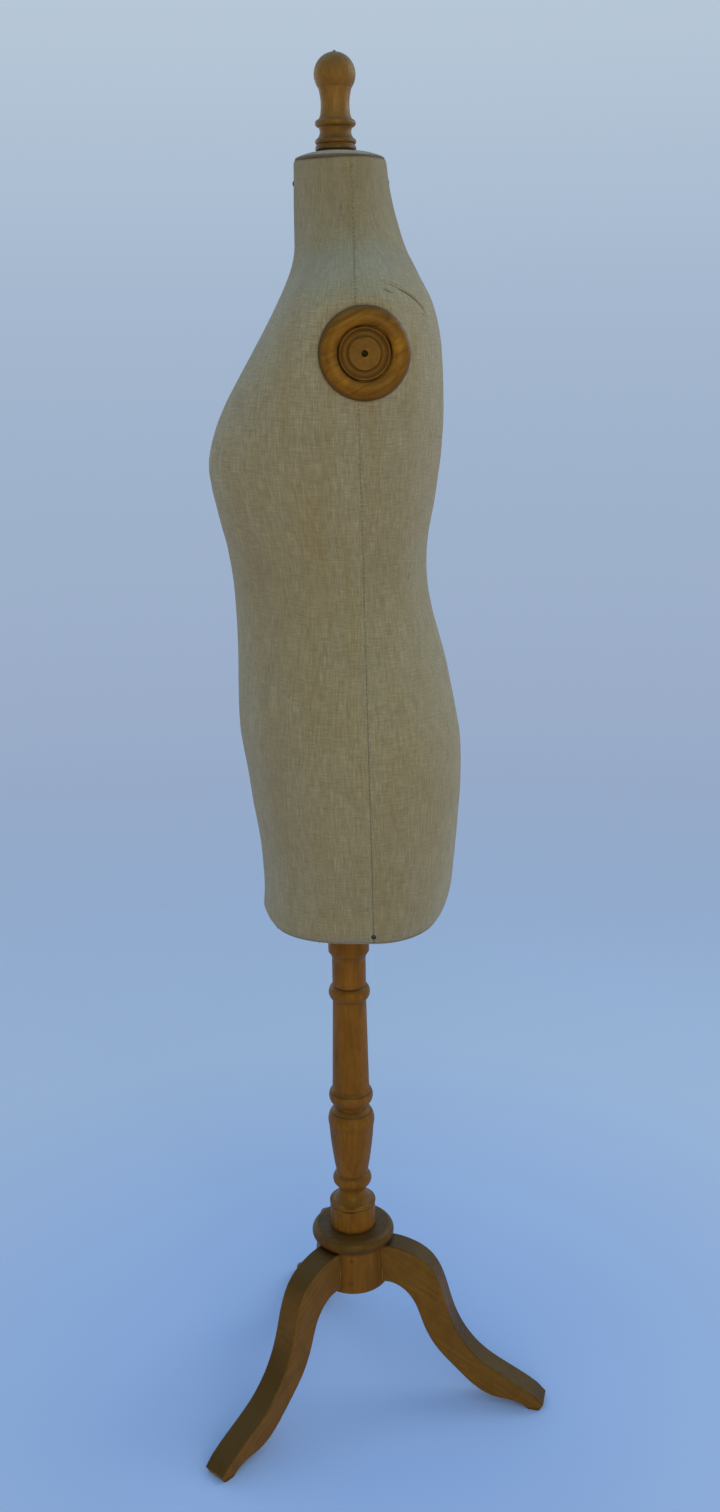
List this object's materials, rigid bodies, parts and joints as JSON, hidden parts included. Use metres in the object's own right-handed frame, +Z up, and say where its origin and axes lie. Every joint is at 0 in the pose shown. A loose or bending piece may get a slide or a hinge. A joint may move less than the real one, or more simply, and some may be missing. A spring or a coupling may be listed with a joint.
{
  "type": "dress form mannequin",
  "caption": "Linen-covered torso dress form that turns and lifts on a turned wooden pole with curved legs, with wooden shoulder caps and a screw-on neck knob.",
  "frame": {"origin": "on the floor, in the middle of the object's footprint box; the pole's axis stands at x = 26.0 mm, y = -32.5 mm", "axes": "+Z up along the pole, -Y the way the torso faces at rest, +X towards the torso's left shoulder cap"},
  "size_m": [0.4378, 0.4309, 1.6205],
  "materials": {
    "stand_wood": "turned hardwood, amber satin varnish",
    "leg_wood": "sawn hardwood, amber satin varnish, worn edges",
    "cap_wood": "turned hardwood, golden satin varnish",
    "peg_wood": "dark end grain",
    "inner_wood": "bare hardwood",
    "board_wood": "bare plywood",
    "papier_mache": "rough layered paper",
    "linen": "plain-woven natural linen, aged",
    "neck_linen": "linen glued over a thin disc, aged",
    "felt": "pressed wool felt",
    "leather": "thin vegetable-tanned leather",
    "tack_steel": "dull oxidised steel",
    "steel": "plain steel"
  },
  "bodies": {
    "stand": {"hub_body": "stand_wood", "hub_disc": "stand_wood", "pole_socket": "stand_wood", "leg_left_front": "leg_wood", "leg_rear": "leg_wood", "leg_right": "leg_wood", "leg_dowels": "inner_wood", "pole_pegs": "peg_wood", "column": "stand_wood", "pole_collar": "stand_wood", "inner_post": "inner_wood"},
    "swivel": {"swivel_washer": "felt"},
    "torso": {"base_board": "board_wood", "socket_block": "inner_wood", "block_screws": "steel", "guide_board": "board_wood", "board_nails": "steel", "shell_front": "papier_mache", "shell_back": "papier_mache", "cover_front": "linen", "cover_back": "linen", "hem_turning": "linen", "hem_tacks": "tack_steel", "under_tacks": "tack_steel", "neck_tacks": "tack_steel", "neck_block": "inner_wood", "neck_insert": "steel", "neck_cap": "neck_linen", "shoulder_block_left": "inner_wood", "shoulder_block_right": "inner_wood", "shoulder_cap_left": "cap_wood", "shoulder_cap_right": "cap_wood"},
    "knob_seat": {"knob_washer": "leather"},
    "knob": {"finial": "cap_wood", "finial_stud": "steel"}
  },
  "joints": [
    {"name": "torso_turn", "type": "hinge", "parent": "stand", "child": "swivel", "pos_m": [0.026, -0.0325, 0.673], "axis": [0, 0, 1], "continuous": true},
    {"name": "torso_lift", "type": "slide", "parent": "swivel", "child": "torso", "axis": [0, 0, 1], "range_m": [0, 0.27]},
    {"name": "knob_turn", "type": "hinge", "parent": "torso", "child": "knob_seat", "pos_m": [0.026, -0.0325, 1.5226], "axis": [0, 0, 1], "range_deg": [0, 2880]},
    {"name": "knob_rise", "type": "slide", "parent": "knob_seat", "child": "knob", "axis": [0, 0, 1], "range_m": [0, 0.0121]}
  ],
  "couplings": [
    {"joint": "knob_rise", "follows": "knob_turn", "m_per_rad": 0.00023873}
  ]
}
